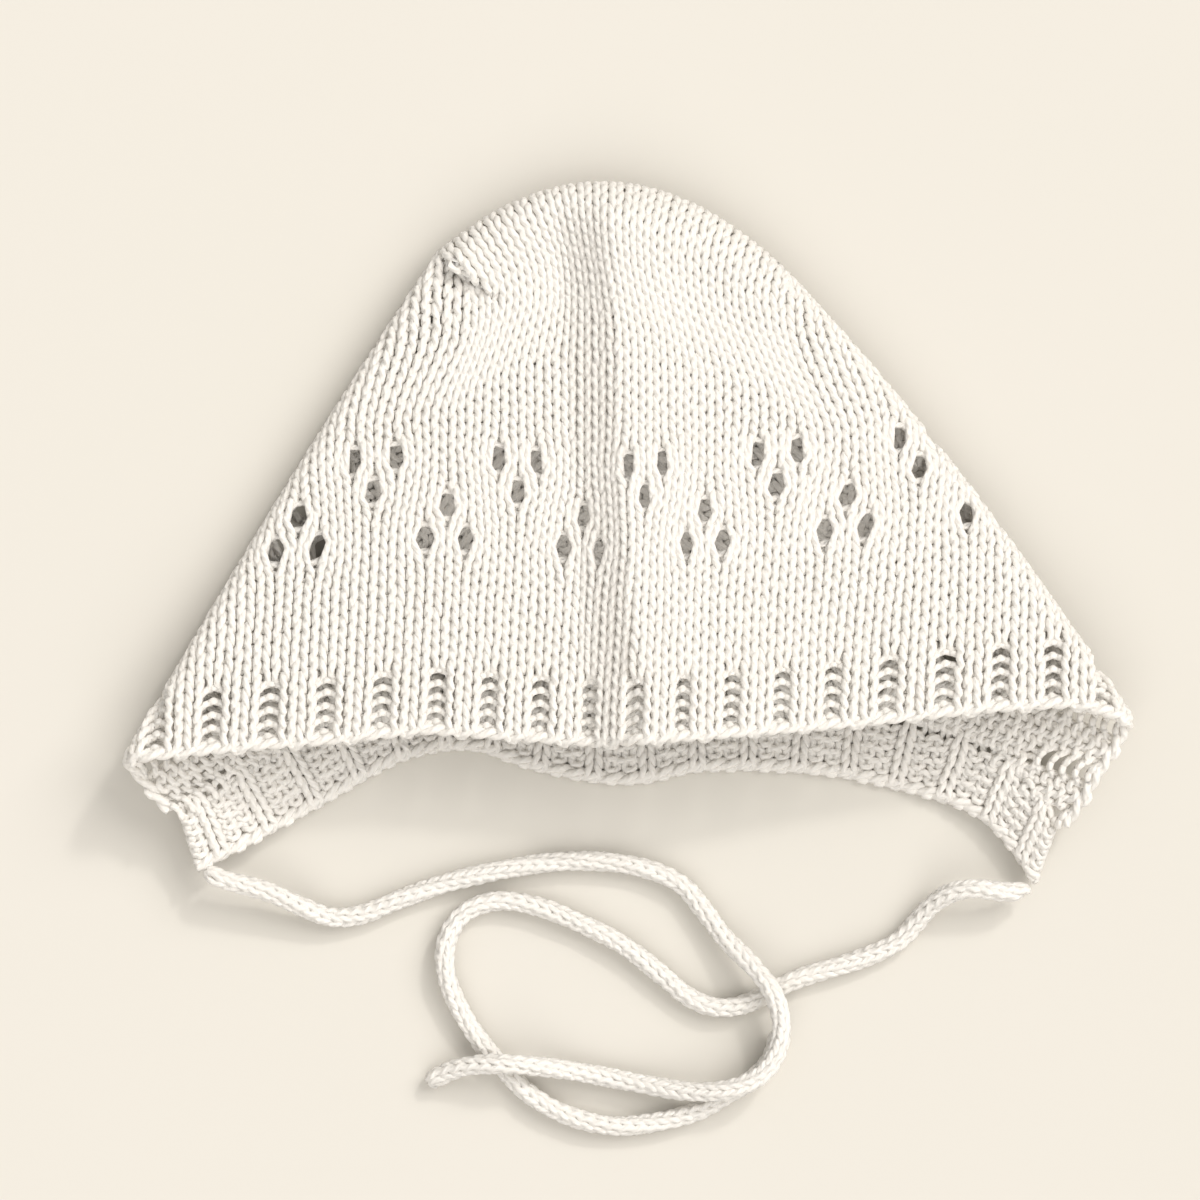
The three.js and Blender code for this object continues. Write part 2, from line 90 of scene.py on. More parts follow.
def yarn_mesh(name, strands, radius, sides=YARN_SIDES):
    """One object from many strands. A strand is (points, outward directions), both in millimetres."""
    vertices = []
    faces = []
    uvs = []
    start = 0
    turn = 2 * math.pi * np.arange(sides) / sides
    for points, outward in strands:
        count = len(points)
        forward = unit(np.gradient(points, axis=0))
        sideways = unit(np.cross(outward, forward))
        up = np.cross(forward, sideways)
        ring = np.cos(turn)[None, :, None] * sideways[:, None] + np.sin(turn)[None, :, None] * up[:, None]
        vertices.append((points[:, None] + radius * ring).reshape(-1, 3))
        along = np.concatenate([[0], np.cumsum(np.linalg.norm(np.diff(points, axis=0), axis=1))])
        step, side = np.meshgrid(np.arange(count - 1), np.arange(sides), indexing="ij")
        step = step.ravel()
        side = side.ravel()
        after = (side + 1) % sides
        base = start + step * sides
        quads = np.stack([base + side, base + after, base + sides + after, base + sides + side], axis=1)
        faces.extend(quads.tolist())
        u = np.stack([along[step], along[step], along[step + 1], along[step + 1]], axis=1)
        v = np.stack([side, side + 1, side + 1, side], axis=1) / sides
        uvs.append(np.stack([u, v], axis=2).reshape(-1, 2))
        ends = start + np.arange(sides)
        faces.append(ends[::-1].tolist())
        faces.append((ends + (count - 1) * sides).tolist())
        uvs.append(np.zeros((2 * sides, 2)))
        start += count * sides
    mesh = bpy.data.meshes.new(name)
    mesh.from_pydata((np.concatenate(vertices) * MM).tolist(), [], faces)
    mesh.uv_layers.new(name="yarn").data.foreach_set("uv", np.concatenate(uvs).astype(np.float32).ravel())
    mesh.polygons.foreach_set("use_smooth", np.ones(len(mesh.polygons), bool))
    mesh.update()
    piece = bpy.data.objects.new(name, mesh)
    bpy.context.scene.collection.objects.link(piece)
    triangles = sum(len(face) - 2 for face in faces)
    print(f"{name}: {len(strands)} strands, {triangles} triangles")
    return piece


# %% [markdown]
# ## Smooth lines through chosen points
# The ties and the neck edge are curves through a few points. A Catmull-Rom spline passes through each point
# and needs no handles, so the same points that place the model's solids place the yarn.

# %% Spline helper
def through_points(points, shares):
    """Points of a Catmull-Rom spline; a share of 0 is its first point and 1 its last."""
    points = np.asarray(points, float)
    last = len(points) - 1
    at = np.clip(np.asarray(shares, float) * last, 0, last)
    index = np.minimum(at.astype(int), last - 1)
    t = (at - index)[..., None]
    before, first = points[np.maximum(index - 1, 0)], points[index]
    second, after = points[index + 1], points[np.minimum(index + 2, last)]
    pull_in = (second - before) / 2
    pull_out = (after - first) / 2
    return (
        (2 * first - 2 * second + pull_in + pull_out) * t**3
        + (3 * second - 3 * first - 2 * pull_in - pull_out) * t**2
        + pull_in * t
        + first
    )


def evenly_along(points, spacing):
    """The same line with its points a fixed spacing apart."""
    along = np.concatenate([[0], np.cumsum(np.linalg.norm(np.diff(points, axis=0), axis=1))])
    count = int(round(along[-1] / spacing)) + 1
    wanted = np.linspace(0, along[-1], count)
    return np.stack([np.interp(wanted, along, points[:, axis]) for axis in range(3)], axis=1), along[-1]


# %% [markdown]
# ## One stitch
# A knit stitch is a loop shaped like an omega. Its two legs lie in front, where they read as a V, and its
# head and feet pass behind its neighbours. A purl stitch is the same loop seen from behind. Between two knit
# stitches it is pulled flat and shows as short level bars with dark gaps. `across` counts stitches, `upward`
# counts rows and `height` is in millimetres.

# %% Stitch shape
YARN_RADIUS = 0.87
# How far a loop swings across, how tall it is in rows, how far its legs stand out, and its whole offset.
LOOP_POINTS = 12
loop_turn = 2 * math.pi * (np.arange(LOOP_POINTS) + 0.5) / LOOP_POINTS - math.pi
KNIT = {"spread": 0.21, "reach": 0.95, "height": 0.80, "lift": 0.0}
RIB_KNIT = {"spread": 0.21, "reach": 0.95, "height": 0.80, "lift": 0.35}
RIB_PURL = {"spread": -0.04, "reach": 0.10, "height": -0.35, "lift": -0.60}
# The neck band is seen from its inside, where its purl columns look like knit ones.
NECK_PURL = {"spread": 0.21, "reach": 0.95, "height": -0.80, "lift": -0.35}
FOOT_STARTS = 0.7  # where along each half of a loop its foot starts to take its neighbour's shape


def loop_points(kinds):
    """Where the points of each stitch lie, as (across, upward, height), for rows of stitch kinds."""
    fields = {}
    near_foot = 0.5 * np.clip((np.abs(loop_turn) / math.pi - FOOT_STARTS) / (1 - FOOT_STARTS), 0, 1)
    for key in KNIT:
        here = np.vectorize(lambda kind: kind[key], otypes=[float])(kinds)
        left = np.concatenate([here[:, :1], here[:, :-1]], axis=1)
        right = np.concatenate([here[:, 1:], here[:, -1:]], axis=1)
        beside = np.where(loop_turn < 0, left[..., None], right[..., None])
        own = here[..., None]
        fields[key] = own + (beside - own) * near_foot
        if key == "reach":  # a knit loop's foot comes up behind it to meet a flat purl bar
            fields[key] = own + (np.minimum(own, beside) - own) * 2 * near_foot
    across = loop_turn / (2 * math.pi) + fields["spread"] * np.sin(2 * loop_turn)
    upward = fields["reach"] * np.cos(loop_turn)
    height = fields["lift"] - fields["height"] * np.cos(2 * loop_turn)
    return across, upward, height


# %% [markdown]
# ## The ties
# Each tie is an i-cord: three stitches knitted round and round, which closes into a round braid. A plain
# tube would miss the braid, so one yarn spirals along the cord, looping as it goes. The routes are the same
# points as the model's solids. A short stretch rests on the other tie at each crossing.

# %% Ties
LIES = 0.0027  # height of a tie's middle where it lies on the table
OVER = 0.0083  # and where it lies on the other tie
TIE_LEFT_ROUTE = [
    (-0.0994, -0.0800, 0.0086),
    (-0.0942, -0.0819, 0.0084),
    (-0.0850, -0.0844, 0.0074),
    (-0.0774, -0.0878, 0.0056),
    (-0.0704, -0.0906, 0.0034),
    (-0.0630, -0.0899, LIES),
    (-0.0541, -0.0863, LIES),
    (-0.0401, -0.0817, LIES),
    (-0.0239, -0.0784, LIES),
    (-0.0100, -0.0775, LIES),
    (0.0016, -0.0789, LIES),
    (0.0109, -0.0828, LIES),
    (0.0166, -0.0891, 0.0030),
    (0.0216, -0.0956, 0.0042),
    (0.0276, -0.1016, 0.0066),
    (0.0323, -0.1076, OVER),
    (0.0344, -0.1143, OVER),
    (0.0336, -0.1210, OVER),
    (0.0295, -0.1270, OVER),
    (0.0225, -0.1303, OVER),
    (0.0132, -0.1310, 0.0062),
    (0.0016, -0.1292, 0.0036),
    (-0.0100, -0.1271, 0.0034),
    (-0.0210, -0.1252, 0.0062),
    (-0.0295, -0.1244, OVER),
    (-0.0380, -0.1250, 0.0060),
    (-0.0440, -0.1270, 0.0036),
    (-0.0476, -0.1292, LIES),
]
TIE_RIGHT_ROUTE = [
    (0.0918, -0.0844, 0.0050),
    (0.0862, -0.0845, 0.0076),
    (0.0796, -0.0836, 0.0088),
    (0.0739, -0.0846, 0.0078),
    (0.0696, -0.0876, 0.0054),
    (0.0657, -0.0920, 0.0034),
    (0.0616, -0.0962, LIES),
    (0.0554, -0.0994, LIES),
    (0.0480, -0.1020, LIES),
    (0.0387, -0.1048, LIES),
    (0.0318, -0.1080, LIES),
    (0.0256, -0.1110, LIES),
    (0.0190, -0.1116, LIES),
    (0.0128, -0.1090, LIES),
    (0.0063, -0.1037, LIES),
    (-0.0030, -0.0967, LIES),
    (-0.0146, -0.0909, LIES),
    (-0.0239, -0.0877, LIES),
    (-0.0322, -0.0869, LIES),
    (-0.0394, -0.0896, 0.0034),
    (-0.0434, -0.0960, 0.0044),
    (-0.0434, -0.1039, 0.0042),
    (-0.0404, -0.1119, 0.0032),
    (-0.0356, -0.1195, LIES),
    (-0.0298, -0.1262, LIES),
    (-0.0234, -0.1324, LIES),
    (-0.0146, -0.1370, LIES),
    (-0.0042, -0.1392, LIES),
    (0.0063, -0.1382, LIES),
    (0.0155, -0.1355, LIES),
    (0.0226, -0.1314, LIES),
    (0.0284, -0.1279, LIES),
    (0.0324, -0.1230, LIES),
    (0.0340, -0.1174, LIES),
]
CORD_STITCHES_ROUND = 3
CORD_ROW = 3.0  # millimetres along the cord for each round
CORD_CORE_RADIUS = 1.15
CORD_YARN_RADIUS = 0.86
CORD_LOOP_HEIGHT = 0.5
CORD_TWIST = 0.012  # turns for each millimetre
CORD_END = 0.4  # how far inside its ends the first and last loop stay
CORD_LINE_STEP = 0.0005


def travelling_sides(points):
    """A sideways direction at each point of a line, carried along without twisting."""
    forward = unit(np.gradient(points, axis=0))
    side = np.zeros_like(points)
    side[0] = unit(np.cross((0, 0, 1), forward[0]))
    for index in range(1, len(points)):
        carried = side[index - 1] - forward[index] * np.dot(side[index - 1], forward[index])
        side[index] = unit(carried)
    return forward, side


def knitted_cord(name, route, first_turn):
    """A tie along a route in metres; first_turn says where round the cord its yarn starts."""
    route = np.asarray(route)
    dense = through_points(route, np.linspace(0, 1, 40 * len(route)))
    line, length = evenly_along(dense, CORD_LINE_STEP)
    forward, side = travelling_sides(line)
    up = np.cross(forward, side)
    length_mm = length / MM
    stitches = int(length_mm / CORD_ROW * CORD_STITCHES_ROUND) - CORD_STITCHES_ROUND
    kinds = np.full((1, stitches), KNIT)
    across, upward, height = (field[0] for field in loop_points(kinds))
    number = np.arange(stitches)[:, None]
    row = (number + across) / CORD_STITCHES_ROUND
    place = np.clip((0.9 + row + upward) * CORD_ROW, CORD_END, length_mm - CORD_END)
    angle = 2 * math.pi * (row + CORD_TWIST * place) + first_turn
    lift = CORD_CORE_RADIUS + height * CORD_LOOP_HEIGHT / KNIT["height"]
    place, angle, lift = (field.ravel() for field in (place, angle, lift))
    known = np.linspace(0, length_mm, len(line))

    def at_place(values):
        return np.stack([np.interp(place, known, values[:, axis]) for axis in range(3)], axis=1)

    outward = unit(np.cos(angle)[:, None] * at_place(side) + np.sin(angle)[:, None] * at_place(up))
    points = at_place(line) / MM + lift[:, None] * outward
    points[:, 2] = np.maximum(points[:, 2], CORD_YARN_RADIUS)
    piece = yarn_mesh(name, [(points, outward)], CORD_YARN_RADIUS)
    print(name, "is", round(length_mm), "mm long")
    return piece


tie_left = knitted_cord("knitted_tie_left", TIE_LEFT_ROUTE, 0.6)
tie_right = knitted_cord("knitted_tie_right", TIE_RIGHT_ROUTE, 2.1)

# %% [markdown]
# ## The shape the fabric lies in
# The bonnet is a flattened bag. Its upper and lower layers turn into each other along a left fold, a right
# fold and the crown. These functions give the height of each layer at a place of the plan, in the same way
# as the model does, so the yarn follows the model's walls.

# %% Plan of the flattened bonnet
LEFT_TIP = np.array([-115.8, -52.9])
RIGHT_TIP = np.array([113.4, -43.4])
CROWN_LEFT = np.array([-44.7, 63.0])
CROWN_RIGHT = np.array([36.0, 57.7])
CROWN_TOP_X = -7.2
CROWN_TOP_Y = 79.2
CROWN_CURVE = 0.0115
LEFT_BOW = 1.5
RIGHT_BOW = 3.2
BOW_REACH = 50.0
FOLD_RADIUS = 4.5
FLOOR_HEIGHT = 1.3
UPPER_RISE_WIDTH = 34.0
LOWER_FALL_WIDTH = 52.0

# The face hem on the upper layer, carried on past both tips as if the fabric were laid open.
FACE_HEM_X = [-150.0, -115.8, -94.0, -71.0, -48.0, -8.0, 39.0, 80.0, 100.0, 113.4, 150.0]
FACE_HEM_Y = [-44.9, -52.9, -50.9, -48.9, -46.3, -49.3, -45.7, -42.0, -40.8, -43.4, -33.1]

# Heights of the layers' middle, by distance towards the crown.
HEIGHT_Y = [-82, -52, -36, -10, 20, 48, 62, 80]
FOLD_HEIGHT = [21.0, 18.5, 14.5, 9.5, 8.2, 8.0, 8.0, 8.0]
UPPER_HEIGHT = [23.0, 22.5, 21.5, 19.0, 15.5, 12.2, 11.6, 12.6]


def ease(share):
    share = np.clip(share, 0, 1)
    return share * share * (3 - 2 * share)


def bell(share):
    return np.exp(-share * share)


def crown_y(x):
    return CROWN_TOP_Y - CROWN_CURVE * (x - CROWN_TOP_X) ** 2


def crown_slope(x):
    return -2 * CROWN_CURVE * (x - CROWN_TOP_X)


def side_fold(tip, corner, bow, inward_sign):
    along = unit(corner - tip)
    inward = np.array([along[1], -along[0]]) * inward_sign
    return {"tip": tip, "along": along, "inward": inward, "bow": bow, "length": np.linalg.norm(corner - tip)}


left_fold = side_fold(LEFT_TIP, CROWN_LEFT, LEFT_BOW, 1)
right_fold = side_fold(RIGHT_TIP, CROWN_RIGHT, RIGHT_BOW, -1)


def fold_distance(fold, plan):
    return (plan - fold["tip"]) @ fold["inward"]


def fold_bow(fold, plan):
    share = np.clip((plan - fold["tip"]) @ fold["along"] / fold["length"], 0, 1)
    fade = 1 - ease(fold_distance(fold, plan) / BOW_REACH)
    return (-4 * fold["bow"] * share * (1 - share) * fade)[..., None] * fold["inward"]


def crown_distance(plan):
    x = plan[..., 0]
    inside = (x >= CROWN_LEFT[0]) & (x <= CROWN_RIGHT[0])
    return np.where(inside, (crown_y(x) - plan[..., 1]) / np.hypot(1, crown_slope(x)), 1e6)


def edge_distance(plan):
    """How far a plan point is from the nearest fold."""
    sides = np.minimum(fold_distance(left_fold, plan), fold_distance(right_fold, plan))
    return np.maximum(0, np.minimum(sides, crown_distance(plan)))


# %% [markdown]
# The upper layer also has relief: a standing crease from the crown to the hem, a tuck at the left crown
# corner where the sides are joined to the back, and two hollows inside the crown edge.

# %% Heights
CREASE_TOP_X = -6.0
CREASE_HEM_X = 2.0
CREASE_HEIGHT = 8.0
CREASE_LEFT_WIDTH = 12.0
CREASE_SHARPNESS = 1.25
CREASE_RIGHT_WIDTH = 42.0
CREASE_HEM_Y = -49.3
CREASE_FADE = 0.35  # how much lower it is at the crown
TUCK_LENGTH = 16.0
TUCK_DIRECTION = (0.80, -0.60)
TUCK_LIP = 2.2
TUCK_DENT = 3.4
TUCK_WIDTH = 5.0
TUCK_ENDS_AT = 1.2  # of its length
HOLLOWS = [(-15, 60, 9, 12, 1.6), (17, 56, 13, 11, 1.5)]  # middle x, y, size x, y, depth


def crease_height(x, y):
    share = np.clip((y - CREASE_HEM_Y) / (CROWN_TOP_Y - CREASE_HEM_Y), 0, 1)
    from_crest = x - (CREASE_HEM_X + (CREASE_TOP_X - CREASE_HEM_X) * share)
    left_flank = np.clip(1 + from_crest / CREASE_LEFT_WIDTH, 0, 1) ** CREASE_SHARPNESS
    right_slope = bell(from_crest / CREASE_RIGHT_WIDTH)
    return CREASE_HEIGHT * np.where(from_crest < 0, left_flank, right_slope) * (1 - CREASE_FADE * share)


def tuck_place(x, y):
    """How far a place is along the tuck, and how far above it."""
    from_x = x - CROWN_LEFT[0]
    from_y = y - CROWN_LEFT[1]
    along = from_x * TUCK_DIRECTION[0] + from_y * TUCK_DIRECTION[1]
    above = -from_x * TUCK_DIRECTION[1] + from_y * TUCK_DIRECTION[0]
    return along, above


def tuck_height(x, y):
    along, above = tuck_place(x, y)
    fade = ease(TUCK_ENDS_AT - along / TUCK_LENGTH) * ease(1 + along / TUCK_WIDTH)
    return np.where(above > 0, TUCK_LIP, -TUCK_DENT) * fade * bell(above / TUCK_WIDTH)


def hollow_height(x, y):
    depth = 0
    for middle_x, middle_y, size_x, size_y, deep in HOLLOWS:
        depth = depth + deep * bell(np.hypot((x - middle_x) / size_x, (y - middle_y) / size_y))
    return -depth


def fold_round(edge):
    inset = np.clip(1 - edge / FOLD_RADIUS, 0, 1)
    return np.sqrt(1 - inset * inset)


def layer_point(plan, lower):
    """The place in space of a plan point, on the upper layer or on the lower one."""
    x = plan[..., 0]
    y = plan[..., 1]
    edge = edge_distance(plan)
    fold = np.interp(y, HEIGHT_Y, FOLD_HEIGHT)
    rise = np.interp(y, HEIGHT_Y, UPPER_HEIGHT) - fold - FOLD_RADIUS
    relief = crease_height(x, y) + hollow_height(x, y)
    upper_z = fold + FOLD_RADIUS * fold_round(edge) + rise * ease(edge / UPPER_RISE_WIDTH)
    upper_z = upper_z + relief * ease(edge / (2 * FOLD_RADIUS)) + tuck_height(x, y) * ease(edge / FOLD_RADIUS)
    fall = fold - FOLD_RADIUS - FLOOR_HEIGHT
    lower_z = fold - FOLD_RADIUS * fold_round(edge) - fall * ease(edge / LOWER_FALL_WIDTH)
    moved = plan + fold_bow(left_fold, plan) + fold_bow(right_fold, plan)
    return np.concatenate([moved, np.where(lower, lower_z, upper_z)[..., None]], axis=-1)


# %% [markdown]
# ## Charts: from stitch and row to a place
# A knitter reads a chart: stitch number across, row number up. A chart function here turns those two numbers
# into a place on the fabric. An image of stitches on a plain surface would be easier, but would have no
# depth at the folds and eyelets. The strip's columns stand straight up from the face hem. Past a side fold
# they roll round it and go on along the lower layer, mirrored in the fold line.

# %% Chart of the strip
ROW = 3.0  # height of one row
# Column number, and its distance across at the hem and at the lace.
COLUMNS = [-12, 0, 4, 12, 20, 28, 36, 44, 52, 64]
COLUMN_HEM_X = [-149.0, -97.0, -79.6, -45.5, -13.9, 14.4, 45.0, 79.3, 112.0, 161.0]
COLUMN_LACE_X = [-145.0, -93.0, -75.6, -42.2, -10.9, 16.4, 48.3, 79.0, 110.0, 158.0]
LACE_ROWS_UP = 19.0
FIRST_BACK_COLUMN = 12  # the columns that go over the crown and down the back
LAST_BACK_COLUMN = 34
EVEN_ROWS = 24  # above this the rows start to follow the crown
ROWS_TO_CROWN = 42.5
FAN_STARTS = 3.0  # distance inside the crown's edge from which the fan straightens
FAN_REACH = 36.0
FAN_COLUMNS = [20, 34]  # between these the fan weakens from the first share to the second
FAN_SHARES = [1.0, 0.3]
MIDDLE_BACK_COLUMN = 23
LEFT_SQUEEZE = 0.05  # how far the rows left of the middle follow the crown's edge
# Where the crown draws the sides along: edge column, row of the crown corner, columns it reaches.
LEFT_DRAWN = (FIRST_BACK_COLUMN - 0.5, 31.0, 6.0)
RIGHT_DRAWN = (LAST_BACK_COLUMN + 0.5, 33.0, 9.0)


def column_x(column, row):
    share = np.clip(row / LACE_ROWS_UP, 0, 1)
    hem = np.interp(column, COLUMNS, COLUMN_HEM_X)
    lace = np.interp(column, COLUMNS, COLUMN_LACE_X)
    return hem + (lace - hem) * share


def roll(distance, radius):
    """Unrolled distance from a fold, to (distance inwards in plan, is it on the lower layer)."""
    round_fold = distance + (math.pi / 2 - 1) * radius
    quarter = math.pi / 2 * radius
    arc = radius * (1 - np.cos(np.clip(round_fold, -quarter, quarter) / radius))
    flat = np.where(round_fold > 0, distance, radius - round_fold - quarter)
    return np.where(np.abs(round_fold) < quarter, arc, flat), round_fold < 0


# Lengths along the crown's edge. Its columns are spread halfway between evenly along it and evenly across.
crown_x_known = np.linspace(CROWN_LEFT[0], CROWN_RIGHT[0], 60)
crown_steps = np.hypot(np.diff(crown_x_known), np.diff(crown_y(crown_x_known)))
crown_arc = np.concatenate([[0], np.cumsum(crown_steps)])


def crown_column(column):
    """For a column of the back: its crown point, the way it leaves it inwards, and the edge's own way in."""
    share = (column - FIRST_BACK_COLUMN + 0.5) / (LAST_BACK_COLUMN - FIRST_BACK_COLUMN + 1)
    evenly = np.interp(share, crown_arc / crown_arc[-1], crown_x_known)
    across = CROWN_LEFT[0] + share * (CROWN_RIGHT[0] - CROWN_LEFT[0])
    x = (evenly + across) / 2
    slope = crown_slope(x)
    edge_in = unit(np.stack([slope, -np.ones_like(slope)], axis=-1))
    fan = np.interp(column, FAN_COLUMNS, FAN_SHARES)[..., None]
    way_in = unit(fan * edge_in + (1 - fan) * np.array([0.0, -1.0]))
    return np.stack([x, crown_y(x)], axis=-1), way_in, edge_in


def crown_upper_plan(column, inwards, row):
    """Square to the crown's edge beside it, and straight down the bonnet further in."""
    crown, way_in, _ = crown_column(column)
    straight = np.stack([column_x(column, row), crown[..., 1] - inwards], axis=-1)
    fanned = crown + way_in * inwards[..., None]
    share = ease((inwards - FAN_STARTS) / FAN_REACH)[..., None]
    return fanned + (straight - fanned) * share


def straight_plan(column, row):
    """Straight columns and even rows, before the crown draws them."""
    hem_x = np.interp(column, COLUMNS, COLUMN_HEM_X)
    return np.stack([column_x(column, row), np.interp(hem_x, FACE_HEM_X, FACE_HEM_Y) + ROW * row], axis=-1)


def drawn_by_crown(column, row):
    """How far the sides are drawn along with the nearest column of the back, fading away from it."""
    moved = np.zeros((*column.shape, 2))
    for edge_column, corner_rows, reach in (LEFT_DRAWN, RIGHT_DRAWN):
        edge = np.full_like(column, edge_column)
        held_row = np.minimum(row, corner_rows)
        drawn = crown_flat_plan(edge, held_row)[0] - straight_plan(edge, held_row)
        left = edge_column < LAST_BACK_COLUMN
        beyond = np.maximum(0, edge_column - column if left else column - edge_column)
        own_side = column < edge_column if left else column >= edge_column
        moved = moved + drawn * (bell(beyond / reach) * own_side)[..., None]
    return moved


def strip_chart(column, row):
    """Stitch to place for the sides, which roll round the two side folds."""
    plan = straight_plan(column, row) + drawn_by_crown(column, row)
    lower = np.zeros(column.shape, bool)
    for fold in (left_fold, right_fold):
        along = (plan - fold["tip"]) @ fold["along"]
        inwards, under = roll(fold_distance(fold, plan), FOLD_RADIUS)
        rolled = fold["tip"] + along[..., None] * fold["along"] + inwards[..., None] * fold["inward"]
        near = fold_distance(fold, plan) < FOLD_RADIUS
        plan = np.where(near[..., None], rolled, plan)
        lower = lower | (near & under)
    return layer_point(plan, lower), plan, lower


# %% [markdown]
# The middle columns go over the crown and down the back to the neck, which is how this kind of bonnet gets
# its round head. On the left they fan out to meet the crown's edge squarely.

# %% Chart of the crown and back
NECK_HEM = [(-101.4, -78.3), (-88.5, -71.6), (-72.4, -62.7), (-54.0, -52.6), (-38.0, -50.2), (-22.0, -55.0),
            (-2.0, -58.2), (18.0, -54.9), (44.0, -55.9), (62.0, -59.4), (77.5, -64.2), (86.5, -71.0),
            (94.0, -81.8)]
NECK_TOP = [(-105.6, -65.4), (-94.6, -58.9), (-78.8, -50.2), (-58.9, -39.3), (-37.0, -36.3), (-20.0, -41.2),
            (-2.0, -44.2), (18.0, -40.9), (45.5, -42.0), (65.2, -45.8), (82.0, -51.0), (91.6, -59.6),
            (98.2, -69.2)]
BACK_LEFT_AT_NECK = -46.0
BACK_RIGHT_AT_NECK = 52.0
BACK_TURN_REACH = 20.0  # how far the back's columns take to turn towards the neck


def neck_top_y(x):
    return np.interp(x, [point[0] for point in NECK_TOP], [point[1] for point in NECK_TOP])


def crown_flat_plan(column, row):
    """Upper-layer plan point, distance in from the crown's edge, and whether the row is past the edge."""
    crown, way_in, edge_in = crown_column(column)
    hem_x = np.interp(column, COLUMNS, COLUMN_HEM_X)
    length = crown[..., 1] - np.interp(hem_x, FACE_HEM_X, FACE_HEM_Y)
    squeeze = np.where(column < MIDDLE_BACK_COLUMN, LEFT_SQUEEZE, 0.0)
    rows_to_edge = length / ROW + squeeze * (ROWS_TO_CROWN - length / ROW)
    pitch = (length - EVEN_ROWS * ROW) / (rows_to_edge - EVEN_ROWS)
    to_edge = np.where(row < EVEN_ROWS, length - ROW * row, (rows_to_edge - row) * pitch)
    to_edge = np.where(row > rows_to_edge, (rows_to_edge - row) * ROW, to_edge)
    squareness = np.sum(way_in * edge_in, axis=-1)
    inwards, lower = roll(to_edge, FOLD_RADIUS / squareness)
    return crown_upper_plan(column, inwards, row), inwards, lower


def crown_chart(column, row):
    """Stitch to place for the columns that go over the crown and down the back."""
    upper_plan, inwards, lower = crown_flat_plan(column, row)
    crown, way_in, _ = crown_column(column)
    share = (column - FIRST_BACK_COLUMN + 0.5) / (LAST_BACK_COLUMN - FIRST_BACK_COLUMN + 1)
    neck_x = BACK_LEFT_AT_NECK + (BACK_RIGHT_AT_NECK - BACK_LEFT_AT_NECK) * share
    neck = np.stack([neck_x, neck_top_y(neck_x)], axis=-1)
    down = unit(neck - crown)
    turned = ease((inwards - FAN_STARTS) / BACK_TURN_REACH)[..., None]
    lower_plan = crown + inwards[..., None] * unit(way_in + (down - way_in) * turned)
    plan = np.where(lower[..., None], lower_plan, upper_plan)
    return layer_point(plan, lower), plan, lower


# %% [markdown]
# The neck band was picked up along the neck edge and knitted outwards, so its chart runs along the edge, and
# its rows go from the cap towards the hem.

# %% Chart of the neck band
NECK_ROWS = 5
NECK_STITCHES = 54
neck_shares = np.linspace(0, 1, 400)
neck_middle = (through_points(NECK_HEM, neck_shares) + through_points(NECK_TOP, neck_shares)) / 2
neck_arc = np.concatenate([[0], np.cumsum(np.linalg.norm(np.diff(neck_middle, axis=0), axis=1))])
print("neck edge", round(neck_arc[-1]), "mm long")


def neck_chart(column, row):
    """Stitch to place for the neck band, on the lower layer."""
    wanted = (column + 0.5) / NECK_STITCHES * neck_arc[-1]
    share = np.interp(wanted, neck_arc, neck_shares)
    top = through_points(NECK_TOP, share)
    hem = through_points(NECK_HEM, share)
    plan = top + (hem - top) * (row / NECK_ROWS)[..., None]
    lower = np.ones(column.shape, bool)
    return layer_point(plan, lower), plan, lower


# %% [markdown]
# ## Lace
# An eyelet is a yarn-over beside a decrease: a hole that pushes its neighbours aside. Three make a small
# leaf. The leaves repeat every eight stitches, in two lines that are half a repeat apart. Instead of
# knitting each decrease by hand, the chart is pushed outwards round each hole before it is laid out.

# %% Eyelets
EYELET_HALF_WIDTH = 0.62  # in stitches
EYELET_HALF_HEIGHT = 1.10  # in rows
UPPER_LEAF = [(-1.05, 1.0), (1.05, 1.0), (0.0, -1.1)]
LOWER_LEAF = [(0.0, 1.4), (-1.0, -0.8), (1.0, -0.8)]
UPPER_LEAF_ROW = 20.0
LOWER_LEAF_ROW = 15.5
LEAF_REPEAT = 8
eyelets = []
for repeat in range(-2, 8):
    for leaf, row_number, first in ((UPPER_LEAF, UPPER_LEAF_ROW, 8), (LOWER_LEAF, LOWER_LEAF_ROW, 4)):
        for across, upward in leaf:
            eyelets.append((first + LEAF_REPEAT * repeat + across, row_number + upward))
print(len(eyelets), "eyelets charted")


def pushed_aside(column, row):
    """The chart's places moved out of every eyelet."""
    moved_column = column.copy()
    moved_row = row.copy()
    for hole_column, hole_row in eyelets:
        away_x = (column - hole_column) / EYELET_HALF_WIDTH
        away_y = (row - hole_row) / EYELET_HALF_HEIGHT
        away = np.hypot(away_x, away_y)
        grow = np.sqrt(away * away + 1) / np.maximum(away, 1e-3) - 1
        grow = grow * (1 - ease((away - 2) / 3))
        moved_column += (column - hole_column) * grow
        moved_row += (row - hole_row) * grow
    return moved_column, moved_row


# %% [markdown]
# ## Knitting
# One row of knitting is one length of yarn, so each row becomes one strand that loops from stitch to stitch.
# It ends where the fabric ends. Hand knitting is never quite even, so every stitch is moved a little.

# %% Knit rows
UNEVEN_ACROSS = 0.025  # in stitches
UNEVEN_UPWARD = 0.03  # in rows
LONGEST_GAP = 4.2  # a yarn ends where its next stitch is further off than this
CHART_STEP = 0.05  # in stitches and rows, for the fabric's own directions


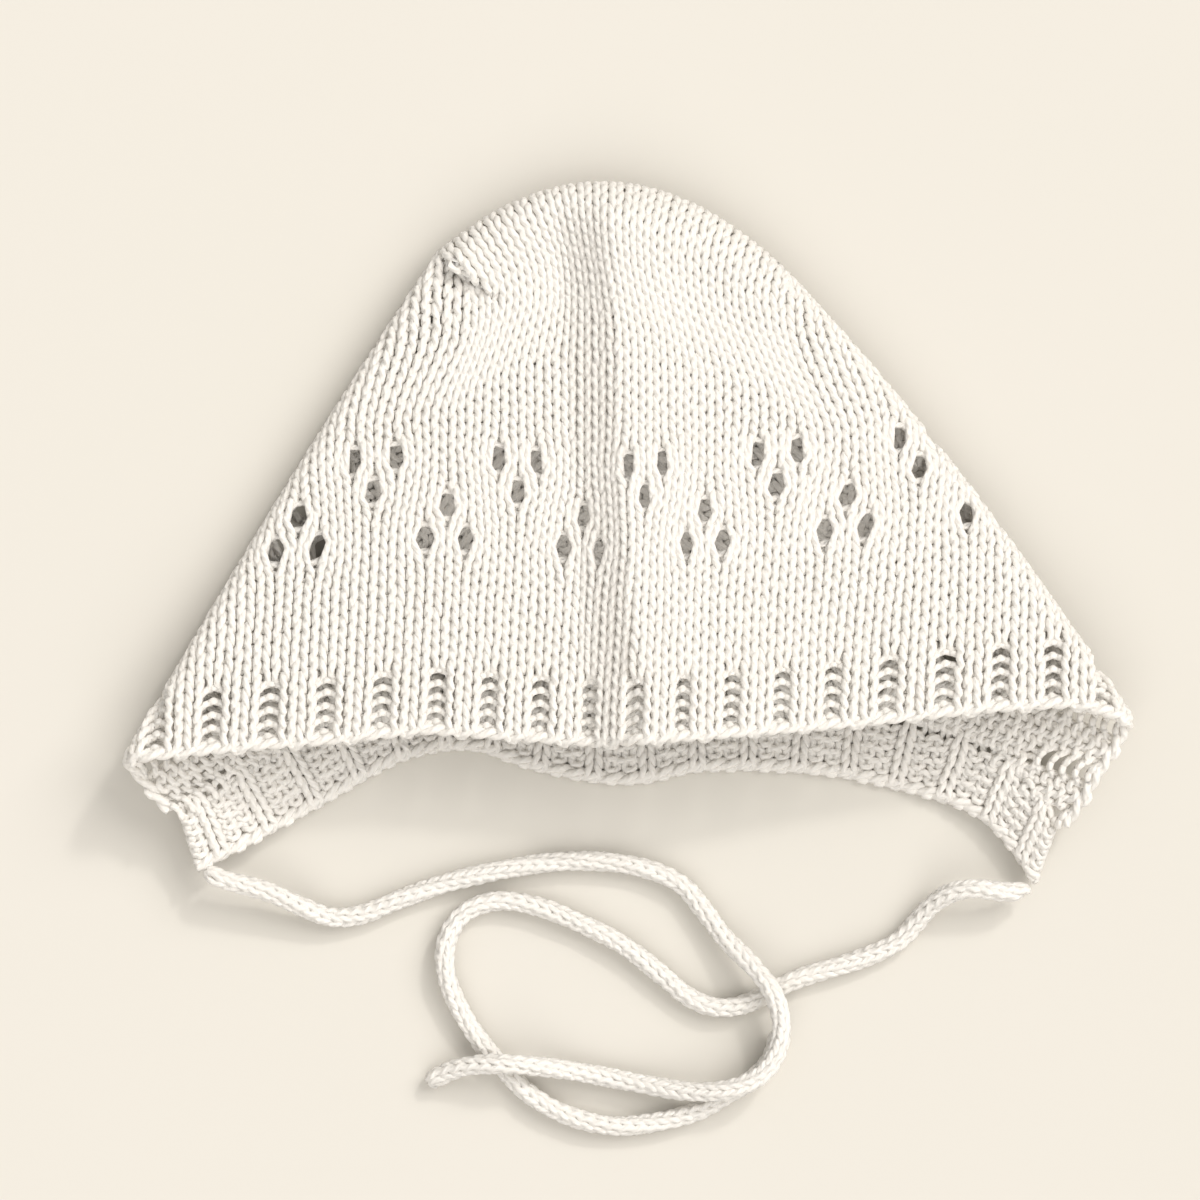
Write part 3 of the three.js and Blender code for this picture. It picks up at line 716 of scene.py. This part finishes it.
def outward_and_up(chart, column, row):
    """The fabric's outward and upward directions at places of a chart."""
    over = chart(column + CHART_STEP, row)[0] - chart(column - CHART_STEP, row)[0]
    up = chart(column, row + CHART_STEP)[0] - chart(column, row - CHART_STEP)[0]
    return unit(np.cross(over, up)), unit(up)


def knit(chart, columns, rows, kind_at, keep_at, lace=False):
    """Strands for a block of stitches. keep_at says which of them are inside the fabric."""
    column, row = np.meshgrid(np.asarray(columns, float), np.asarray(rows, float) + 0.5)
    kinds = np.array([[kind_at(int(c), int(r)) for c in columns] for r in rows])
    across, upward, height = loop_points(kinds)
    nudge = rng.normal(0, 1, (2, *column.shape, 1))
    fine_column = column[..., None] + across + UNEVEN_ACROSS * nudge[0]
    fine_row = row[..., None] + upward + UNEVEN_UPWARD * nudge[1]
    if lace:
        fine_column, fine_row = pushed_aside(fine_column, fine_row)
    outward, _ = outward_and_up(chart, fine_column, fine_row)
    points = chart(fine_column, fine_row)[0] + outward * height[..., None]
    points[..., 2] = np.maximum(points[..., 2], YARN_RADIUS)
    _, plan, lower = chart(column, row)
    keep = keep_at(column, row, plan, lower)
    strands = []
    for index in range(len(rows)):
        run = []
        for place in range(len(columns) + 1):
            inside = place < len(columns) and keep[index, place]
            if inside and run:
                gap = np.linalg.norm(points[index, place, 0] - points[index, place - 1, -1])
                inside_run = gap < LONGEST_GAP
            else:
                inside_run = inside
            if run and not inside_run:
                strands.append((np.concatenate([points[index, p] for p in run]),
                                np.concatenate([outward[index, p] for p in run])))
                run = []
            if inside:
                run.append(place)
    return strands


JOIN_OVERLAP = 1.5  # how far the sides go under the back where they are sewn to it
LEFT_JOIN_NECK_Y = -40.0
RIGHT_JOIN_NECK_Y = -42.0


TUCK_SIDE_GAP = 0.5  # the side starts this far below the tuck
PAST_THE_TUCK = 40.0  # beyond this along the tuck's line, the side's own columns cover everything


def join_left_x(y):
    """Where the left side is joined to the back, on the lower layer."""
    return np.interp(y, [LEFT_JOIN_NECK_Y, CROWN_LEFT[1]], [BACK_LEFT_AT_NECK, CROWN_LEFT[0]])


def join_right_x(y):
    return np.interp(y, [RIGHT_JOIN_NECK_Y, CROWN_RIGHT[1]], [BACK_RIGHT_AT_NECK, CROWN_RIGHT[0]])


# Each of these says which stitches of a chart are fabric: all take the stitch, its plan point and its layer.
def in_side(column, row, plan, lower):
    x = plan[..., 0]
    y = plan[..., 1]
    along, above = tuck_place(x, y)
    under_tuck = (above < -TUCK_SIDE_GAP) | (along > PAST_THE_TUCK)
    on_upper = ~lower & ((column > LAST_BACK_COLUMN) | under_tuck)
    beside_back = np.where(column < FIRST_BACK_COLUMN, x < join_left_x(y) + JOIN_OVERLAP,
                           x > join_right_x(y) - JOIN_OVERLAP)
    on_lower = lower & beside_back & (y > neck_top_y(x))
    return on_upper | on_lower


def in_back(column, row, plan, lower):
    return ~lower | (plan[..., 1] > neck_top_y(plan[..., 0]))


def everywhere(column, row, plan, lower):
    return np.ones(column.shape, bool)


def plain(column, row):
    return KNIT


def rib(column, row):
    return RIB_PURL if column % 3 == 0 else RIB_KNIT


def rib_from_neck(column, row):
    return NECK_PURL if column % 3 == 1 else RIB_KNIT


RIB_ROWS = 5
STRIP_FIRST = -11  # columns of the strip, from end to end
STRIP_LAST = 61


def strip_or_crown(column, row):
    """Sides and crown in one chart: each stitch keeps to the chart of its own column."""
    side = strip_chart(column, row)
    middle = crown_chart(column, row)
    own = np.round(np.mean(column, axis=-1)) if column.ndim == 3 else column
    back = (own >= FIRST_BACK_COLUMN) & (own <= LAST_BACK_COLUMN)
    if column.ndim == 3:  # all the points of a stitch go with it
        back = np.broadcast_to(back[..., None], column.shape)
    return (np.where(back[..., None], middle[0], side[0]),
            np.where(back[..., None], middle[1], side[1]),
            np.where(back, middle[2], side[2]))


def in_strip(column, row, plan, lower):
    back = (column >= FIRST_BACK_COLUMN) & (column <= LAST_BACK_COLUMN)
    return np.where(back, ~lower & in_back(column, row, plan, lower), in_side(column, row, plan, lower))


def in_back_under(column, row, plan, lower):
    return lower & in_back(column, row, plan, lower)


strip_columns = range(STRIP_FIRST, STRIP_LAST + 1)
MIDDLE_ROW = 21
TOP_ROW = 46
BACK_FIRST_ROW = 30
BACK_LAST_ROW = 90
face_rib_strands = knit(strip_or_crown, strip_columns, range(0, RIB_ROWS), rib, in_strip)
lower_strands = knit(strip_or_crown, strip_columns, range(RIB_ROWS, MIDDLE_ROW), plain, in_strip, lace=True)
upper_strands = knit(strip_or_crown, strip_columns, range(MIDDLE_ROW, TOP_ROW), plain, in_strip, lace=True)
back_columns = range(FIRST_BACK_COLUMN, LAST_BACK_COLUMN + 1)
back_strands = knit(crown_chart, back_columns, range(BACK_FIRST_ROW, BACK_LAST_ROW), plain, in_back_under)
neck_strands = knit(neck_chart, range(0, NECK_STITCHES), range(0, NECK_ROWS), rib_from_neck, everywhere)

face_rib = yarn_mesh("face_rib", face_rib_strands, YARN_RADIUS)
lower_rows = yarn_mesh("cap_rows_to_lace", lower_strands, YARN_RADIUS)
upper_rows = yarn_mesh("cap_rows_to_crown", upper_strands, YARN_RADIUS)
back_rows = yarn_mesh("cap_back", back_strands, YARN_RADIUS)
neck_rib = yarn_mesh("neck_rib", neck_strands, YARN_RADIUS)

# %% [markdown]
# ## The cast-on edges
# A cast-on edge is a firm cord of slanting bumps, one for each stitch. It could be knitted loop by loop as
# the rows are, but its loops don't show. Two strands twisted round each other along the hem give the same
# bumps with far fewer faces.

# %% Edges
EDGE_YARN_RADIUS = 1.00
EDGE_TWIST_RADIUS = 0.65
EDGE_POINTS = 10  # for each stitch


def twisted_edge(chart, first, last, row, keep_at):
    """Two yarns twisted round each other along one row of a chart, half a turn for each stitch."""
    column = np.arange(first - 0.5, last + 0.5, 1 / EDGE_POINTS)
    place = np.full_like(column, float(row))
    points, plan, lower = chart(column, place)
    keep = keep_at(column, np.full_like(column, 0.5), plan, lower)
    outward, upward = outward_and_up(chart, column, place)
    strands = []
    for half in (0, math.pi):
        angle = math.pi * column + half
        round_edge = np.cos(angle)[:, None] * outward + np.sin(angle)[:, None] * upward
        line = points + EDGE_TWIST_RADIUS * round_edge
        line[:, 2] = np.maximum(line[:, 2], EDGE_YARN_RADIUS)
        strands.append((line[keep], outward[keep]))
    return strands


face_edge = yarn_mesh("face_cast_on", twisted_edge(strip_chart, STRIP_FIRST, STRIP_LAST, 0.0, in_side),
                      EDGE_YARN_RADIUS)
neck_edge = yarn_mesh("neck_cast_off", twisted_edge(neck_chart, 0, NECK_STITCHES, NECK_ROWS, everywhere),
                      EDGE_YARN_RADIUS)

# %% [markdown]
# ## Cotton
# The yarn is undyed cotton, spun as three plies twisted together and left matt. Close up, the twist is what
# says cotton. The plies could be modelled, at three times the faces. A wave that runs slantwise round the
# yarn's own UV map gives the same grooves, and fine noise softens them as loose fibres do. The shade that
# falls in the grooves is painted into the colour as well.

# %% Cotton material
PLIES = 3
PLY_PITCH = 6.0  # millimetres for one turn of a ply
PLY_DEPTH = 0.0002  # metres
FIBRE_SCALE = 1800.0  # about half a millimetre: a real fibre is finer, too fine to show
PATCH_SCALE = 60.0  # about 17 millimetres
LIGHT_THROUGH = 0.30  # share of the light that goes through the yarn


def linear(hex_colour):
    """An sRGB hex colour as linear RGBA."""
    channels = [int(hex_colour[place:place + 2], 16) / 255 for place in (1, 3, 5)]
    straight = [c / 12.92 if c <= 0.04045 else ((c + 0.055) / 1.055) ** 2.4 for c in channels]
    return (*straight, 1.0)


def add_node(tree, kind, settings=None, **links):
    """One node with its settings; a link is a socket, and anything else is a socket's value."""
    node = tree.nodes.new(kind)
    for name, value in (settings or {}).items():
        setattr(node, name, value)
    for name, value in links.items():
        socket = node.inputs[int(name[1:])] if name[0] == "i" and name[1:].isdigit() else node.inputs[name]
        if isinstance(value, bpy.types.NodeSocket):
            tree.links.new(value, socket)
        else:
            socket.default_value = value
    return node


def cotton_yarn(name, light, groove_shade_and_patch_colour):
    """Spun cotton: rough, barely shiny, with a soft sheen from its loose fibres."""
    material = bpy.data.materials.new(name)
    material.use_nodes = True
    tree = material.node_tree
    shader = tree.nodes["Principled BSDF"]
    uv = add_node(tree, "ShaderNodeUVMap", {"uv_map": "yarn"})
    parts = add_node(tree, "ShaderNodeSeparateXYZ", i0=uv.outputs[0])
    place = add_node(tree, "ShaderNodeTexCoord")
    multiply = {"operation": "MULTIPLY"}
    multiply_add = {"operation": "MULTIPLY_ADD"}
    # A wave that runs slantwise round the yarn, once for each ply.
    turns = add_node(tree, "ShaderNodeMath", multiply, i0=parts.outputs[0], i1=PLIES / PLY_PITCH)
    round_yarn = add_node(tree, "ShaderNodeMath", multiply, i0=parts.outputs[1], i1=PLIES)
    slant = add_node(tree, "ShaderNodeMath", {"operation": "ADD"}, i0=turns.outputs[0],
                     i1=round_yarn.outputs[0])
    phase = add_node(tree, "ShaderNodeMath", multiply, i0=slant.outputs[0], i1=2 * math.pi)
    wave = add_node(tree, "ShaderNodeMath", {"operation": "SINE"}, i0=phase.outputs[0])
    # Fine noise for the fibres and broad noise for patches that took the wash differently.
    at = place.outputs["Object"]
    fibre = add_node(tree, "ShaderNodeTexNoise", Vector=at, Scale=FIBRE_SCALE, Detail=2.0)
    patch = add_node(tree, "ShaderNodeTexNoise", Vector=at, Scale=PATCH_SCALE, Detail=1.0)
    height = add_node(tree, "ShaderNodeMath", multiply_add, i0=fibre.outputs["Fac"], i1=0.8,
                      i2=wave.outputs[0])
    bump = add_node(tree, "ShaderNodeBump", Height=height.outputs[0], Strength=0.4, Distance=PLY_DEPTH)
    # The grooves between the plies take the darker colour as painted shade, and the patches that took the
    # wash differently take it too.
    painted_groove_shade = add_node(tree, "ShaderNodeMapRange", i0=wave.outputs[0], i1=-1.0, i2=0.2, i3=0.25, i4=0.0)
    groove_shade_and_patch_share = add_node(tree, "ShaderNodeMath", multiply_add, i0=patch.outputs["Fac"], i1=0.25,
                    i2=painted_groove_shade.outputs[0])
    colour = add_node(tree, "ShaderNodeMix", {"data_type": "RGBA"}, i0=groove_shade_and_patch_share.outputs[0], i6=linear(light),
                      i7=linear(groove_shade_and_patch_colour))
    tree.links.new(colour.outputs[2], shader.inputs["Base Color"])
    tree.links.new(bump.outputs[0], shader.inputs["Normal"])
    shader.inputs["Roughness"].default_value = 0.85
    shader.inputs["IOR"].default_value = 1.5
    shader.inputs["Specular IOR Level"].default_value = 0.25
    shader.inputs["Sheen Weight"].default_value = 0.35
    shader.inputs["Sheen Roughness"].default_value = 0.5
    # Some light goes through a thin white yarn, so the inside of the bonnet is not black.
    through = add_node(tree, "ShaderNodeBsdfTranslucent", Color=colour.outputs[2], Normal=bump.outputs[0])
    both = add_node(tree, "ShaderNodeMixShader", i0=LIGHT_THROUGH, i1=shader.outputs[0],
                    i2=through.outputs[0])
    tree.links.new(both.outputs[0], tree.nodes["Material Output"].inputs["Surface"])
    return material


# The second colour is the painted shade in the ply grooves, and also the tone of the wash patches.
cotton = cotton_yarn("undyed_cotton_yarn", "#FFFDF9", "#F7F2EB")

# %% [markdown]
# ## Put the pieces together
# Every piece gets the same yarn, moves with the bonnet's one body, and stands for the plain wall or tube of
# the model whose place it takes.

# %% Finish the pieces
for piece, nodes, slot_name in (
    (tie_left, ["tie_left"], "knit_cord"),
    (tie_right, ["tie_right"], "knit_cord"),
    (face_rib, ["front_band"], "knit_rib"),
    (face_edge, ["front_band"], "knit_rib"),
    (neck_rib, ["neck_band"], "knit_rib"),
    (neck_edge, ["neck_band"], "knit_rib"),
    (lower_rows, ["cap"], "knit_lace"),
    (upper_rows, ["cap"], "knit_lace"),
    (back_rows, ["cap"], "knit_lace"),
):
    piece.data.materials.append(cotton)
    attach(piece, "root")
    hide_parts(*nodes)
    print(piece.name, "stands for", *nodes)

# %% [markdown]
# ## Table and light
# The table is a plain pale board, painted matt. A small lamp from the upper right draws the ties' shadows, a
# wide window beside it shades the crease, and a wide front light and a pale room fill the shadows.

# %% Table and light
bpy.ops.object.select_all(action="DESELECT")
bpy.ops.mesh.primitive_plane_add(size=6.0, location=(0, 0, 0))
table = bpy.context.object
table.name = "table_top"
# Matt emulsion paint on board: almost no shine, and a tone that wanders very slightly.
table_material = bpy.data.materials.new("pale_painted_board")
table_material.use_nodes = True
table_tree = table_material.node_tree
table_shader = table_tree.nodes["Principled BSDF"]
table_place = add_node(table_tree, "ShaderNodeTexCoord")
table_noise = add_node(table_tree, "ShaderNodeTexNoise", Vector=table_place.outputs["Object"], Scale=9.0)
table_colour = add_node(table_tree, "ShaderNodeMix", {"data_type": "RGBA"}, i0=table_noise.outputs["Fac"],
                        i6=linear("#D1CDC6"), i7=linear("#CFCCC4"))
table_tree.links.new(table_colour.outputs[2], table_shader.inputs["Base Color"])
table_shader.inputs["Roughness"].default_value = 0.9
table_shader.inputs["Specular IOR Level"].default_value = 0.1
table.data.materials.append(table_material)


def sun(name, across, elevation, strength, spread, colour):
    """A light that comes from the direction `across` in plan; spread is the width of its disc in degrees."""
    bpy.ops.object.light_add(type="SUN", location=(0, 0, 1))
    lamp = bpy.context.object
    lamp.name = name
    back = np.array([across[0] * math.cos(elevation), across[1] * math.cos(elevation), math.sin(elevation)])
    pitch = math.acos(back[2])
    lamp.rotation_euler = (pitch, 0, math.atan2(back[1], back[0]) + math.pi / 2)
    lamp.data.energy = strength
    lamp.data.angle = math.radians(spread)
    lamp.data.color = colour
    return lamp


WARM = (1.0, 0.97, 0.93)
sun("lamp_light", (0.59, 0.81), math.radians(40), 0.70, 6.0, WARM)

# Cotton lets more light through its many fine fibres than a smooth tube does. A dim sheet of light inside
# the bonnet makes up for it, or the eyelets would look black.
INSIDE_LIGHT_PLACE = (-0.002, 0.004, 0.0115)
INSIDE_LIGHT_SIZE = (0.125, 0.045)
bpy.ops.object.light_add(type="AREA", location=INSIDE_LIGHT_PLACE)
inside = bpy.context.object
inside.name = "light_through_the_knit"
inside.data.shape = "RECTANGLE"
inside.data.size, inside.data.size_y = INSIDE_LIGHT_SIZE
inside.data.energy = 0.0060
inside.data.color = WARM
inside.visible_camera = False

sun("window_light", (0.80, 0.60), math.radians(45), 1.68, 40.0, WARM)
sun("front_fill", (0.1, -0.99), math.radians(55), 1.25, 60.0, WARM)
world = bpy.data.worlds.new("pale_room")
bpy.context.scene.world = world
world.use_nodes = True
background = world.node_tree.nodes["Background"]
background.inputs["Color"].default_value = (*WARM, 1)
background.inputs["Strength"].default_value = 0.61
bpy.context.scene.view_settings.view_transform = "Standard"
